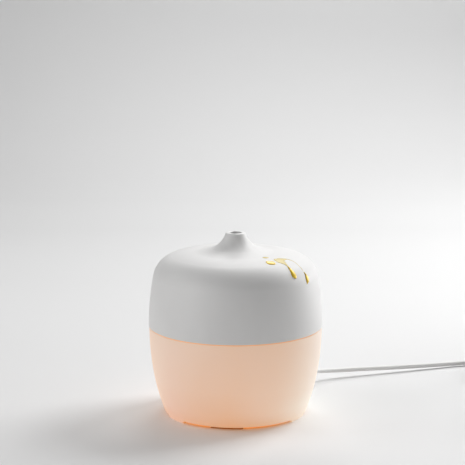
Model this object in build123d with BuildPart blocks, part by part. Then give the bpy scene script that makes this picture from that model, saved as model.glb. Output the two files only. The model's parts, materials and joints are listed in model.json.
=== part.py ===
"""Ultrasonic essential oil diffuser with a glowing translucent base and a lift-off cover.

Millimetres, +Z up, front towards -Y, back with the power socket towards +Y.
Origin: centre of the footprint, on the surface that the diffuser stands on.
"""
import os
from math import cos, pi, radians, sin, tan

from build123d import *

# ---------------------------------------------------------------- overall sizes
cover_radius = 62.0           # outer radius of the cover at the seam
overall_height = 130.0        # floor to nozzle rim
seam_height = 63.4            # lower edge of the cover
base_rim_radius = 51.0        # outer radius of the light shell at its lower rim
base_bend_radius = 58.5       # outer radius where the shell starts to curve in faster
base_bend_height = 27.7

# cover outline, measured from the overall radius and height
cover_lean = 3.4              # side leans in from the seam to the shoulder
shoulder_drop = 30.4          # nozzle rim down to the start of the shoulder
crown_inset = 16.1            # seam radius in to the end of the shoulder
crown_drop = 16.5             # nozzle rim down to the end of the shoulder
flare_radius = 30.3           # where the crown turns up towards the nozzle
flare_drop = 13.9
throat_radius = 17.3          # where the flare tightens into the nozzle
throat_drop = 11.3
nozzle_radius = 7.1           # outer radius of the nozzle rim
nozzle_bore = 4.2             # radius of the mist outlet
cover_wall = 2.2
rim_round = 1.2

# ---------------------------------------------------------------- clearances
lid_play = 0.5                # cover around the tank collar, radial
part_gap = 0.2                # loose fit between neighbours that don't move
running_play = 0.05           # rotor on its post, radial
button_play = 0.1             # cap in its hole, radial

# ---------------------------------------------------------------- light shell
shell_wall = 2.2
seam_ring_height = 0.8
rim_gap = 1.6                 # lower rim above the floor, between the feet
land_width = 22.0             # degrees of rim that reach the floor, three places
land_turn = 2.3               # feet are turned this far from the front
ledge_height = 1.8
lower_ledge_reach = 1.9       # under the plate's rim
upper_ledge_reach = 2.3       # under the tank's flange
shell_step = 0.3              # shell inside the cover's edge

# ---------------------------------------------------------------- base plate
plate_bottom = 1.7
plate_thick = 2.4
plate_play = 0.4              # plate inside the shell's lower rim, radial
boss_radius = 3.5             # screw bosses that hang from the tank
boss_inset = 6.4              # bosses in from the plate's rim
boss_count = 3
case_screw_radius = 1.45
case_screw_head = 2.8
case_screw_head_height = 1.35
case_screw_length = 11.0
foot_width = 27.0             # degrees of each rubber foot
foot_turn = -7.5
foot_depth = 2.6              # radial
rim_light_height = 1.2

# ---------------------------------------------------------------- tank
flange_reach = 9.3            # tank wall in from the collar
tank_wall = 2.0
tank_bottom = 31.0
collar_wall = 2.0
collar_height = 4.4
flange_thick = 2.0
fill_line_height = 54.0
channel_radius = 8.0          # air chimney through the tank
channel_wall = 1.6
channel_flange = 1.6
channel_flange_radius = 11.0
channel_top = 58.0
channel_reach = 5.0           # below the tank's underside

# ---------------------------------------------------------------- mist maker
disc_radius = 10.0
disc_thick = 0.8
disc_cover = 1.5              # seal over the disc's rim
seal_wall = 1.4               # seal outside the disc
seal_height = 2.8
seat_depth = 3.5
retainer_thick = 1.5
retainer_screw_offset = 2.9   # screws outside the seal
retainer_rim = 2.7            # retainer outside its screws
small_screw_radius = 0.8
small_screw_head = 1.6
small_screw_head_height = 1.1

# ---------------------------------------------------------------- light ring
led_board_top = 24.0
board_thick = 1.6
led_board_reach = 4.2         # light ring outside the tank wall
led_board_width = 8.0
led_inset = 2.0               # lamps in from the ring's outer edge
led_count = 12
led_post_inset = 1.4          # posts in from the tank's outer face
led_post_radius = 2.2

# ---------------------------------------------------------------- fan
fan_x = -30.0
fan_size = 30.0
fan_height = 10.0
fan_rim = 1.4                 # frame outside its bore, at its thinnest
fan_hub = 5.8
fan_post = 1.0
fan_hole_inset = 3.0
fan_lift = 2.2
fan_blades = 7
duct_wall = 1.4
duct_flange = 1.5
duct_height = 13.2

# ---------------------------------------------------------------- main board
board_x = 9.0
board_length = 42.0
board_width = 48.0
board_lift = 4.0
board_hole_inset = 3.0

# ---------------------------------------------------------------- rear panel
panel_width = 40.0
panel_bottom = 6.2
panel_height = 15.6
panel_recess = 3.4            # recessed face in from the shell's lower rim
panel_thick = 2.4
panel_frame = 1.6
control_height = 13.0         # z of the socket and the buttons
button_xs = {"mist_button": -3.0, "light_button": -13.0}
button_radius = 3.2
button_flange = 4.1
button_proud = 1.1
button_travel = 0.6
socket_x = 9.0
socket_radius = 4.0
socket_bore = 2.85
socket_depth = 9.0
socket_size = (9.0, 14.0, 11.0)
socket_pin = 1.0

# ---------------------------------------------------------------- power lead
cord_radius = 1.75
plug_barrel = 2.75
plug_head_radius = 5.0
plug_gap = 0.6                # plug's head in front of the panel
plug_arm_y = 57.0
plug_arm_radius = 4.0
plug_arm_end = 20.0
relief_length = 14.0
coil_centre = (215.0, 92.0)
coil_turns = 9.25             # half spiral inwards, half outwards on top of them
coil_pitch = 3.6
coil_line_radius = 30.0       # centre line of the outermost turn
coil_lift = 0.6               # the tie passes under the turns
coil_slack = 0.2              # solid ring beyond its turns, all round
adapter_x = 229.4
adapter_size = (42.0, 64.0, 26.0)
adapter_front_y = -41.0
adapter_round = 5.0
adapter_split = 10.0
pin_size = (1.5, 17.0, 6.4)
pin_spacing = 12.7

# ---------------------------------------------------------------- small details
shell_rim_round = 0.8
lip_round = 0.7
land_inset = 0.5
window_gap = 0.15
seam_ring_inset = 0.7
guide_radius = 6.9
guide_bore = 5.2
guide_drop = 6.5              # nozzle rim down to the guide's top
guide_foot = 76.0
saucer_height = 79.0
saucer_radius = 40.0
saucer_fall = 5.0
saucer_thick = 1.6
guide_stop = 1.5
guide_stop_radius = 9.5
drip_thick = 0.5
drip_reach = 6.0
drip_streams = [              # angle, start and end radius, half width at the neck, half width of the bead
    (-44.0, 42.0, 54.0, 0.6, 1.9),
    (-31.0, 41.0, 57.0, 0.35, 1.4),
]
drip_spots = [                # x, y, length, width, angle of each flat splash
    (24.0, -33.6, 7.0, 3.6, -25.0),
    (20.9, -21.8, 5.4, 2.2, 10.0),
    (30.8, -25.0, 10.0, 6.6, -42.0),
]
fill_line_depth = 0.6
sump_slope_radius = 14.0
sump_lip = 0.6
probe_radius = 1.2
probe_tail = 3.0
probe_rise = 6.0
small_screw_length = 4.0
retainer_grip = 3.0
led_size = (3.5, 2.8, 1.6)
post_radius = 2.4
slot_count = 5
slot_pitch = 4.6
slot_length = 20.0
slot_width = 3.0
foot_inset = 0.2
rim_light_play = 2.0
screw_head_round = 0.3        # this and the slot: shares of the head's height or radius
screw_slot_length = 1.2
screw_slot_width = 0.25
screw_slot_depth = 0.45
case_screw_tip = 2.0          # hole beyond the screw's end
fan_screw_radius = 1.1
fan_screw_head = 1.9
fan_screw_grip = 1.8
fan_corner = 2.0
fan_arm_width = 2.0
fan_spider = 1.7
fan_post_height = 6.0
rotor_gap = 0.3
rotor_height = 7.0
rotor_round = 0.8
blade_start = 5.4
blade_play = 1.2              # blade tips inside the bore
blade_chord = 7.0
blade_thick = 0.9
blade_pitch = 35.0
duct_lap = 1.0                # duct's foot outside the bore
board_corner = 1.5
coil_at = (11.0, 8.0)         # this and what follows: on the board, from its middle
choke_radius = 6.0
choke_height = 9.0
choke_flange = 1.4
choke_groove = 1.2
capacitor_list = [(13.0, -6.0, 3.2, 9.0), (13.0, -14.0, 2.6, 7.0)]
capacitor_round = 0.6
sink_at = (-6.0, -13.0)
sink_base = 2.0
sink_length = 12.0
sink_height = 10.0
sink_fins = 4
sink_fin_pitch = 3.4
sink_fin_thick = 1.0
sink_fin_reach = 3.0
transistor_size = (4.4, 10.0, 9.0)
chip_at = (-5.0, 4.0)
chip_size = (6.0, 7.0, 1.4)
chip_leg = 0.3
chip_leg_reach = 0.8
chip_leg_pitch = 1.6
chip_leg_width = 0.5
header_places = [(-16.0, 6.0), (-6.0, 19.0), (7.0, -20.0), (7.0, 19.0)]
header_size = (5.0, 6.5, 5.0)
header_wall = 0.8
button_flange_thick = 1.0
button_stem_radius = 1.5
button_stem = 1.4
switch_size = (6.0, 6.0, 4.0)
switch_plunger = 1.2
button_board_width = 17.0
button_board_height = 15.0
wire_radius = 0.8
plug_cap = 0.6
plug_round = 1.6
plug_reach = 8.0
relief_radius = 3.2
relief_taper = 4.5
adapter_edge = 2.0

# ---------------------------------------------------------------- routes, points chosen by hand
fan_wire_route = [
    (-15.0, 8.0, 12.0), (-11.4, 8.0, 12.0), (-11.4, 8.0, 16.4), (-11.0, 7.6, 20.8), (-7.0, 6.0, 20.8),
    (-7.0, 6.0, 10.5),
]
light_wire_route = [
    (16.0, -20.0, 10.5), (16.0, -20.0, 15.0), (19.5, -23.5, 18.2), (28.0, -30.8, 18.4), (33.0, -35.0, 19.2),
    (33.0, -35.0, 22.4),
]
mist_wire_route = [
    (3.0, 19.0, 10.5), (3.0, 19.0, 16.0), (3.8, 13.5, 20.6), (5.0, 6.0, 21.8), (5.0, 2.0, 24.6),
    (5.0, 2.0, 28.5),
]
power_wire_route = [
    (9.0, 31.2, 12.0), (9.0, 27.6, 12.0), (10.8, 24.2, 15.0), (14.2, 20.6, 17.0), (16.0, 19.0, 15.2),
    (16.0, 19.0, 10.5),
]
lead_route = [
    (plug_arm_end + relief_length, plug_arm_y, control_height), (47.0, plug_arm_y, control_height),
    (60.0, 72.0, 8.8), (75.0, 83.0, 6.3), (95.0, 90.6, 5.3), (122.0, 99.6, 4.2), (152.0, 110.2, 3.1),
    (174.0, 118.2, 2.5), (187.5, 122.0, 2.4), (200.0, 122.0, 2.4),
]
tail_route = [
    (245.0, 76.0, 6.0), (245.0, 67.4, 6.0), (241.0, 59.4, 7.8), (233.4, 53.4, 10.6),
    (adapter_x, 45.6, adapter_size[2] / 2),
    (adapter_x, adapter_front_y + adapter_size[1] + relief_length, adapter_size[2] / 2),
]

# ---------------------------------------------------------------- worked out from the above
shell_top = seam_height - seam_ring_height
shell_top_radius = cover_radius - shell_step
plate_top = plate_bottom + plate_thick
plate_radius = base_rim_radius - shell_wall - plate_play
lower_ledge_radius = plate_radius - lower_ledge_reach
collar_radius = cover_radius - cover_wall - lid_play
upper_ledge_radius = collar_radius - upper_ledge_reach
tank_radius = collar_radius - flange_reach
boss_circle = min(plate_radius, tank_radius) - boss_inset
flange_bottom = shell_top - flange_thick
led_board_bottom = led_board_top - board_thick
led_board_outer = tank_radius + led_board_reach
led_board_inner = led_board_outer - led_board_width
led_circle = led_board_outer - led_inset
led_post_circle = tank_radius - led_post_inset
seat_bottom = tank_bottom - seat_depth
sump_radius = disc_radius - disc_cover
seal_radius = disc_radius + seal_wall
seal_bore = seal_radius + part_gap / 2
retainer_circle = seal_radius + retainer_screw_offset
seat_radius = retainer_circle + retainer_rim
fan_bottom = plate_top + fan_lift
fan_top = fan_bottom + fan_height
fan_bore = fan_size / 2 - fan_rim
fan_hole_offset = fan_size / 2 - fan_hole_inset
blade_end = fan_bore - blade_play
duct_neck = fan_top + duct_height - channel_reach
board_bottom = plate_top + board_lift
board_top = board_bottom + board_thick
panel_face = base_rim_radius - panel_recess
panel_inner = panel_face - panel_thick
plug_head_start = panel_face + plug_gap
adapter_back_y = adapter_front_y + adapter_size[1]
guide_top = overall_height - guide_drop

cover_outline = [
    (cover_radius, seam_height),
    (cover_radius - cover_lean, overall_height - shoulder_drop),
    (cover_radius - crown_inset, overall_height - crown_drop),
    (flare_radius, overall_height - flare_drop),
    (throat_radius, overall_height - throat_drop),
    (nozzle_radius, overall_height),
]
shell_outline = [
    (shell_top_radius, shell_top),
    (base_bend_radius, base_bend_height),
    (base_rim_radius, rim_gap),
]


def save(built, name):
    """Label one finished piece and write it as its own STEP file."""
    built.part.label = name
    export_step(built.part, f"parts/{name}.step")


def left_of(direction):
    """Unit vector a quarter turn anticlockwise of a direction in the sketch."""
    return Vector(-direction.Y, direction.X).normalized()


def shifted_chain(points, tangent, shift):
    """Points of the chain's concentric copy, moved by shift to the left of its heading."""
    heading = Vector(*tangent)
    moved = []
    for start, end in zip(points, points[1:]):
        moved.append(Vector(*start) + left_of(heading) * shift)
        heading = TangentArc(start, end, tangent=heading, mode=Mode.PRIVATE) % 1
    moved.append(Vector(*points[-1]) + left_of(heading) * shift)
    return moved


def draw_chain(points, tangent):
    """Draw arcs through the points, each tangent to the one before it."""
    heading = Vector(*tangent)
    for start, end in zip(points, points[1:]):
        heading = TangentArc(start, end, tangent=heading) % 1


def spun(profile):
    """Closed outline of (radius, height) points, as a sketch on the XZ plane to revolve."""
    with BuildSketch(Plane.XZ) as sketch:
        with BuildLine():
            Polyline(*profile, close=True)
        make_face()
    return sketch


def facing_back(x, y, z):
    """Plane that looks towards +Y, for what stands on or passes through the rear panel."""
    return Plane(origin=(x, y, z), x_dir=(-1, 0, 0), z_dir=(0, 1, 0))


def screw_group(places, head_z, radius, length, head, head_height, upward):
    """Pan-head screws at the places: heads start at head_z, shanks go up or down from there."""
    way = 1 if upward else -1
    with BuildPart() as screws:
        with BuildSketch(Plane.XY.offset(head_z)):
            with Locations(*places):
                Circle(head)
        extrude(amount=-way * head_height)
        fillet(screws.faces().sort_by(Axis.Z)[0 if upward else -1].edges(), head_height * screw_head_round)
        with BuildSketch(Plane.XY.offset(head_z)):
            with Locations(*places):
                Circle(radius)
        extrude(amount=way * length)
        with BuildSketch(Plane.XY.offset(head_z - way * head_height)):
            with Locations(*places):
                Rectangle(head * screw_slot_length, head * screw_slot_width)
        extrude(amount=way * head_height * screw_slot_depth, mode=Mode.SUBTRACT)
    return screws


def round_places(circle, count, start_angle=0.0):
    """Evenly spaced (x, y) points on a circle about the origin."""
    turns = [radians(start_angle + 360 * step / count) for step in range(count)]
    return [(circle * cos(turn), circle * sin(turn)) for turn in turns]


def arc_block(inner, outer, bottom, height, width, middle_angle):
    """Ring segment between two radii, width degrees wide about middle_angle."""
    with BuildPart() as block:
        with BuildSketch(Plane.XY.offset(bottom)):
            with BuildLine():
                start = middle_angle - width / 2
                rim = CenterArc((0, 0), outer, start, width)
                hub = CenterArc((0, 0), inner, start, width)
                Line(rim @ 0, hub @ 0)
                Line(rim @ 1, hub @ 1)
            make_face()
        extrude(amount=height)
    return block.part


def lead_path(points):
    """Straight runs joined by tangent arcs, each as large as its two runs allow."""
    places = [Vector(*point) for point in points]
    radii = []
    for before, corner, after in zip(places, places[1:], places[2:]):
        run_in, run_out = corner - before, after - corner
        half_turn = radians(run_in.get_angle(run_out)) / 2
        radii.append(0.45 * min(run_in.length, run_out.length) / tan(half_turn))
    return places, radii


def shell_ledge(inner, bottom):
    """Ring inside the light shell, from its wall in to a radius."""
    with BuildPart() as ledge:
        with BuildSketch(Plane.XY.offset(bottom)):
            Circle(shell_top_radius)
            Circle(inner, mode=Mode.SUBTRACT)
        extrude(amount=ledge_height)
        add(shell_form.part, mode=Mode.INTERSECT)
    return ledge.part


def swept_lead(points, radius):
    """Round lead of one radius along a route."""
    places, radii = lead_path(points)
    with BuildPart() as lead:
        with BuildLine():
            route = FilletPolyline(*places, radius=radii)
        with BuildSketch(Plane(route @ 0, z_dir=route % 0)):
            Circle(radius)
        sweep()
    section = pi * radius ** 2
    print(f"lead: length {route.length:.1f}, radii {min(radii):.1f} to {max(radii):.1f},",
          f"volume over section times length {lead.part.volume / (section * route.length):.4f}")
    return lead


case_screws_at = round_places(boss_circle, boss_count)
led_posts_at = round_places(led_post_circle, 3, 60)
retainer_at = round_places(retainer_circle, 3, 90)
fan_screws_at = [
    (fan_x + sx * fan_hole_offset, sy * fan_hole_offset) for sx in (-1, 1) for sy in (-1, 1)
]
board_half_x = board_length / 2 - board_hole_inset
board_half_y = board_width / 2 - board_hole_inset
board_screws_at = [(board_x + sx * board_half_x, sy * board_half_y) for sx in (-1, 1) for sy in (-1, 1)]
headers_at = [(board_x + x, y) for x, y in header_places]
probe_places = [(24.0, -6.0), (24.0, 6.0)]
land_angles = [270 + land_turn + 60 + 120 * step for step in range(3)]
foot_angles = [270 + foot_turn + 120 * step for step in range(3)]

os.makedirs("parts", exist_ok=True)

# ================================================================ cover
with BuildPart() as outer_cover:
    with BuildSketch(Plane.XZ):
        with BuildLine():
            draw_chain(cover_outline, (0, 1))
            Polyline(cover_outline[-1], (0, overall_height), (0, seam_height), cover_outline[0])
        make_face()
    revolve(axis=Axis.Z)
    fillet(outer_cover.edges().group_by(Axis.Z)[-1], rim_round)
    cavity_outline = shifted_chain(cover_outline, (0, 1), cover_wall)[:-1]
    cavity_roof = cavity_outline[-1].Y
    with BuildSketch(Plane.XZ):
        with BuildLine():
            draw_chain(cavity_outline, (0, 1))
            Polyline(cavity_outline[-1], (0, cavity_roof), (0, seam_height), cavity_outline[0])
        make_face()
    revolve(axis=Axis.Z, mode=Mode.SUBTRACT)
    with BuildSketch(Plane.XY.offset(cavity_roof)):
        Circle(guide_radius + part_gap / 2)
    extrude(amount=guide_top + part_gap - cavity_roof, mode=Mode.SUBTRACT)
    with BuildSketch(Plane.XY.offset(cavity_roof)):
        Circle(nozzle_bore)
    extrude(amount=overall_height - cavity_roof, mode=Mode.SUBTRACT)
    fillet(outer_cover.faces().sort_by(Axis.Z)[-1].inner_wires()[0].edges(), lip_round)
save(outer_cover, "outer_cover")

# mist guide: a tube pushed up into the nozzle, with a splash saucer above the water
with BuildPart() as mist_guide:
    revolve(spun([
        (guide_bore, guide_foot), (guide_radius, guide_foot), (guide_radius, saucer_height),
        (saucer_radius, saucer_height - saucer_fall),
        (saucer_radius, saucer_height - saucer_fall + saucer_thick),
        (guide_radius, saucer_height + saucer_thick), (guide_radius, cavity_roof - guide_stop),
        (guide_stop_radius, cavity_roof - guide_stop), (guide_stop_radius, cavity_roof),
        (guide_radius, cavity_roof), (guide_radius, guide_top), (guide_bore, guide_top),
    ]).sketch, axis=Axis.Z)
save(mist_guide, "mist_guide")

# gilt drips: a thin raised trim that follows the cover's shoulder
with BuildPart() as gilt_skin:
    with BuildSketch(Plane.XZ):
        raised = shifted_chain(cover_outline, (0, 1), -drip_thick)[:-1]
        with BuildLine():
            draw_chain(raised, (0, 1))
            Polyline(raised[-1], (0, raised[-1].Y), (0, seam_height), raised[0])
        make_face()
    revolve(axis=Axis.Z)
    with BuildSketch(Plane.XZ):
        with BuildLine():
            draw_chain(cover_outline[:-1], (0, 1))
            top = cover_outline[-2]
            Polyline(top, (0, top[1]), (0, seam_height), cover_outline[0])
        make_face()
    revolve(axis=Axis.Z, mode=Mode.SUBTRACT)

with BuildPart() as gilt_drips:
    with BuildSketch(Plane.XY.offset(overall_height - shoulder_drop - drip_reach)):
        for angle, start, end, neck, bead in drip_streams:
            with BuildSketch(Plane.XY.rotated((0, 0, angle)), mode=Mode.PRIVATE) as stream:
                with BuildLine():
                    Line((start, -neck), (end, -bead))
                    ThreePointArc((end, -bead), (end + bead, 0), (end, bead))
                    Line((end, bead), (start, neck))
                    Line((start, neck), (start, -neck))
                make_face()
            add(stream.sketch)
        for x, y, length, width, angle in drip_spots:
            with Locations(Location((x, y), angle)):
                Ellipse(length / 2, width / 2)
    extrude(amount=shoulder_drop + drip_reach)
    add(gilt_skin.part, mode=Mode.INTERSECT)
save(gilt_drips, "gilt_drips")

# ================================================================ light shell and seam ring
with BuildPart() as shell_form:
    with BuildSketch(Plane.XZ):
        with BuildLine():
            draw_chain(shell_outline, (0, -1))
            Polyline(shell_outline[-1], (0, rim_gap), (0, shell_top), shell_outline[0])
        make_face()
    revolve(axis=Axis.Z)

with BuildPart() as light_shell:
    add(shell_form.part)
    fillet(light_shell.edges().group_by(Axis.Z)[0], shell_rim_round)
    cavity = shifted_chain(shell_outline, (0, -1), -shell_wall)
    with BuildSketch(Plane.XZ):
        with BuildLine():
            draw_chain(cavity, (0, -1))
            Polyline(cavity[-1], (cavity[-1].X, 0), (0, 0), (0, shell_top), cavity[0])
        make_face()
    revolve(axis=Axis.Z, mode=Mode.SUBTRACT)
    add(shell_ledge(lower_ledge_radius, plate_top))
    add(shell_ledge(upper_ledge_radius, flange_bottom - ledge_height))
    for angle in land_angles:
        add(arc_block(base_rim_radius - shell_wall, base_rim_radius - land_inset, 0,
                      rim_gap + shell_rim_round, land_width, angle))
    with BuildSketch(facing_back(0, panel_inner, panel_bottom - window_gap)):
        Rectangle(panel_width + 2 * window_gap, panel_height + 2 * window_gap,
                  align=(Align.CENTER, Align.MIN))
    extrude(amount=cover_radius, mode=Mode.SUBTRACT)
save(light_shell, "light_shell")

with BuildPart() as seam_ring:
    with BuildSketch(Plane.XY.offset(shell_top)):
        Circle(cover_radius - seam_ring_inset)
        Circle(collar_radius + part_gap, mode=Mode.SUBTRACT)
    extrude(amount=seam_ring_height)
save(seam_ring, "seam_ring")

# ================================================================ tank
with BuildPart() as water_tank:
    revolve(spun([
        (sump_radius, seat_bottom + seal_height), (seal_bore, seat_bottom + seal_height),
        (seal_bore, seat_bottom), (seat_radius, seat_bottom), (seat_radius, tank_bottom),
        (tank_radius, tank_bottom), (tank_radius, flange_bottom), (collar_radius, flange_bottom),
        (collar_radius, shell_top + collar_height),
        (collar_radius - collar_wall, shell_top + collar_height),
        (collar_radius - collar_wall, shell_top), (tank_radius - tank_wall, shell_top),
        (tank_radius - tank_wall, tank_bottom + tank_wall), (sump_slope_radius, tank_bottom + tank_wall),
        (sump_radius, tank_bottom + sump_lip),
    ]).sketch, axis=Axis.Z)
    revolve(spun([
        (tank_radius - tank_wall - fill_line_depth, fill_line_height),
        (tank_radius - tank_wall / 2, fill_line_height),
        (tank_radius - tank_wall / 2, fill_line_height + fill_line_depth),
        (tank_radius - tank_wall - fill_line_depth, fill_line_height + fill_line_depth),
    ]).sketch, axis=Axis.Z)
    with BuildSketch(Plane.XY.offset(tank_bottom)):
        with Locations((fan_x, 0)):
            Circle(channel_radius + part_gap / 2)
    extrude(amount=tank_wall, mode=Mode.SUBTRACT)
    with BuildSketch(Plane.XY.offset(plate_top)):
        with Locations(*case_screws_at):
            Circle(boss_radius)
    extrude(amount=tank_bottom - plate_top)
    with BuildSketch(Plane.XY.offset(plate_top)):
        with Locations(*case_screws_at):
            Circle(case_screw_radius)
    extrude(amount=case_screw_length + case_screw_tip, mode=Mode.SUBTRACT)
    with BuildSketch(Plane.XY.offset(led_board_top)):
        with Locations(*led_posts_at):
            Circle(led_post_radius)
    extrude(amount=tank_bottom - led_board_top)
    with BuildSketch(Plane.XY.offset(led_board_top)):
        with Locations(*led_posts_at):
            Circle(small_screw_radius)
    extrude(amount=small_screw_length, mode=Mode.SUBTRACT)
    with BuildSketch(Plane.XY.offset(seat_bottom)):
        with Locations(*retainer_at):
            Circle(small_screw_radius)
    extrude(amount=retainer_grip, mode=Mode.SUBTRACT)
    with BuildSketch(Plane.XY.offset(tank_bottom)):
        with Locations(*probe_places):
            Circle(probe_radius)
    extrude(amount=tank_wall, mode=Mode.SUBTRACT)
save(water_tank, "water_tank")

# the fan's air rises past the water in this tube, sealed to the tank's floor by its flange
with BuildPart() as air_chimney:
    with Locations((fan_x, 0, 0)):
        add(revolve(spun([
            (channel_radius - channel_wall, tank_bottom - channel_reach),
            (channel_radius, tank_bottom - channel_reach), (channel_radius, tank_bottom + tank_wall),
            (channel_flange_radius, tank_bottom + tank_wall),
            (channel_flange_radius, tank_bottom + tank_wall + channel_flange),
            (channel_radius, tank_bottom + tank_wall + channel_flange), (channel_radius, channel_top),
            (channel_radius - channel_wall, channel_top),
        ]).sketch, axis=Axis.Z, mode=Mode.PRIVATE))
save(air_chimney, "air_chimney")

with BuildPart() as level_probes:
    with BuildSketch(Plane.XY.offset(tank_bottom - probe_tail)):
        with Locations(*probe_places):
            Circle(probe_radius)
    extrude(amount=probe_tail + tank_wall + probe_rise)
    fillet(level_probes.faces().sort_by(Axis.Z)[-2:].edges(), probe_radius * 0.6)
save(level_probes, "level_probes")

# ================================================================ mist maker
groove_bottom = seat_bottom + (seal_height - disc_thick) / 2
with BuildPart() as piezo_seal:
    revolve(spun([
        (sump_radius, seat_bottom), (seal_radius, seat_bottom), (seal_radius, seat_bottom + seal_height),
        (sump_radius, seat_bottom + seal_height), (sump_radius, groove_bottom + disc_thick),
        (disc_radius, groove_bottom + disc_thick), (disc_radius, groove_bottom),
        (sump_radius, groove_bottom),
    ]).sketch, axis=Axis.Z)
save(piezo_seal, "piezo_seal")

with BuildPart() as piezo_disc:
    with BuildSketch(Plane.XY.offset(groove_bottom)):
        Circle(disc_radius)
    extrude(amount=disc_thick)
save(piezo_disc, "piezo_disc")

with BuildPart() as piezo_retainer:
    with BuildSketch(Plane.XY.offset(seat_bottom - retainer_thick)):
        Circle(seat_radius)
        Circle(sump_radius - part_gap, mode=Mode.SUBTRACT)
        with Locations(*retainer_at):
            Circle(small_screw_radius + part_gap, mode=Mode.SUBTRACT)
    extrude(amount=retainer_thick)
save(piezo_retainer, "piezo_retainer")

retainer_screws = screw_group(
    retainer_at, seat_bottom - retainer_thick, small_screw_radius, retainer_thick + retainer_grip - part_gap,
    small_screw_head, small_screw_head_height, upward=True)
save(retainer_screws, "retainer_screws")

# ================================================================ light ring
with BuildPart() as led_board:
    with BuildSketch(Plane.XY.offset(led_board_bottom)):
        Circle(led_board_outer)
        Circle(led_board_inner, mode=Mode.SUBTRACT)
        with Locations(*led_posts_at):
            Circle(small_screw_radius + part_gap, mode=Mode.SUBTRACT)
    extrude(amount=board_thick)
save(led_board, "led_board")

with BuildPart() as leds:
    with BuildSketch(Plane.XY.offset(led_board_top)):
        with PolarLocations(led_circle, led_count, 15):
            Rectangle(led_size[0], led_size[1])
    extrude(amount=led_size[2])
    chamfer(leds.faces().group_by(Axis.Z)[-1].edges(), led_size[2] / 4)
save(leds, "leds")

led_board_screws = screw_group(
    led_posts_at, led_board_bottom, small_screw_radius, board_thick + small_screw_length - part_gap,
    small_screw_head, small_screw_head_height, upward=True)
save(led_board_screws, "led_board_screws")

# ================================================================ base plate, feet and rim lights
with BuildPart() as base_plate:
    with BuildSketch(Plane.XY.offset(plate_bottom)):
        Circle(plate_radius)
    extrude(amount=plate_thick)
    with BuildSketch(Plane.XY.offset(plate_top)):
        with Locations(*fan_screws_at):
            Circle(post_radius)
    extrude(amount=fan_lift)
    with BuildSketch(Plane.XY.offset(plate_top)):
        with Locations(*board_screws_at):
            Circle(post_radius)
    extrude(amount=board_lift)
    with BuildSketch(Plane.XY.offset(plate_bottom)):
        with Locations((fan_x, 0)):
            with GridLocations(0, slot_pitch, 1, slot_count):
                SlotOverall(slot_length, slot_width)
    extrude(amount=plate_thick, mode=Mode.SUBTRACT)
    with BuildSketch(Plane.XY.offset(plate_bottom)):
        with Locations(*case_screws_at):
            Circle(case_screw_radius + part_gap)
    extrude(amount=plate_thick, mode=Mode.SUBTRACT)
    with BuildSketch(Plane.XY.offset(plate_bottom)):
        with Locations(*case_screws_at):
            Circle(case_screw_head + part_gap)
    extrude(amount=case_screw_head_height, mode=Mode.SUBTRACT)
    with BuildSketch(Plane.XY.offset(fan_bottom)):
        with Locations(*fan_screws_at):
            Circle(fan_screw_radius)
    extrude(amount=-fan_screw_grip, mode=Mode.SUBTRACT)
    with BuildSketch(Plane.XY.offset(board_bottom)):
        with Locations(*board_screws_at):
            Circle(small_screw_radius)
    extrude(amount=-small_screw_length, mode=Mode.SUBTRACT)
save(base_plate, "base_plate")

case_screws = screw_group(
    case_screws_at, plate_bottom + case_screw_head_height, case_screw_radius, case_screw_length,
    case_screw_head, case_screw_head_height, upward=True)
save(case_screws, "case_screws")

foot_outer = plate_radius - foot_inset
with BuildPart() as rubber_feet:
    for angle in foot_angles:
        add(arc_block(foot_outer - foot_depth, foot_outer, 0, plate_bottom, foot_width, angle))
save(rubber_feet, "rubber_feet")

with BuildPart() as rim_lights:
    for angle in foot_angles:
        add(arc_block(foot_outer - foot_depth, foot_outer, plate_bottom - rim_light_height,
                      rim_light_height, 120 - foot_width - rim_light_play, angle + 60))
save(rim_lights, "rim_lights")

# ================================================================ fan and air duct
with BuildPart() as fan_frame:
    with BuildSketch(Plane.XY.offset(fan_bottom)):
        with Locations((fan_x, 0)):
            RectangleRounded(fan_size, fan_size, fan_corner)
            Circle(fan_bore, mode=Mode.SUBTRACT)
            with GridLocations(2 * fan_hole_offset, 2 * fan_hole_offset, 2, 2):
                Circle(fan_screw_radius + part_gap, mode=Mode.SUBTRACT)
    extrude(amount=fan_height)
    with BuildSketch(Plane.XY.offset(fan_bottom)):
        with Locations((fan_x, 0)):
            Circle(fan_hub)
            for turn in (90, 210, 330):
                with Locations(Location((0, 0), turn)):
                    Rectangle(fan_bore + fan_arm_width / 2, fan_arm_width, align=(Align.MIN, Align.CENTER))
    extrude(amount=fan_spider)
    with BuildSketch(Plane.XY.offset(fan_bottom + fan_spider)):
        with Locations((fan_x, 0)):
            Circle(fan_post)
    extrude(amount=fan_post_height)
save(fan_frame, "fan_frame")

rotor_bottom = fan_bottom + fan_spider + rotor_gap
with BuildPart() as fan_rotor:
    with BuildSketch(Plane.XY.offset(rotor_bottom)):
        with Locations((fan_x, 0)):
            Circle(fan_hub)
    extrude(amount=rotor_height)
    fillet(fan_rotor.edges().group_by(Axis.Z)[-1], rotor_round)
    for step in range(fan_blades):
        turn = 2 * pi * step / fan_blades
        blade_root = Plane(
            origin=(fan_x + blade_start * cos(turn), blade_start * sin(turn), rotor_bottom + rotor_height / 2),
            x_dir=(-sin(turn), cos(turn), 0), z_dir=(cos(turn), sin(turn), 0))
        with BuildSketch(blade_root):
            Rectangle(blade_chord, blade_thick, rotation=blade_pitch)
        extrude(amount=blade_end - blade_start)
    with BuildSketch(Plane.XY.offset(rotor_bottom)):
        with Locations((fan_x, 0)):
            Circle(fan_post + running_play)
    extrude(amount=fan_post_height, mode=Mode.SUBTRACT)
save(fan_rotor, "fan_rotor")

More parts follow.
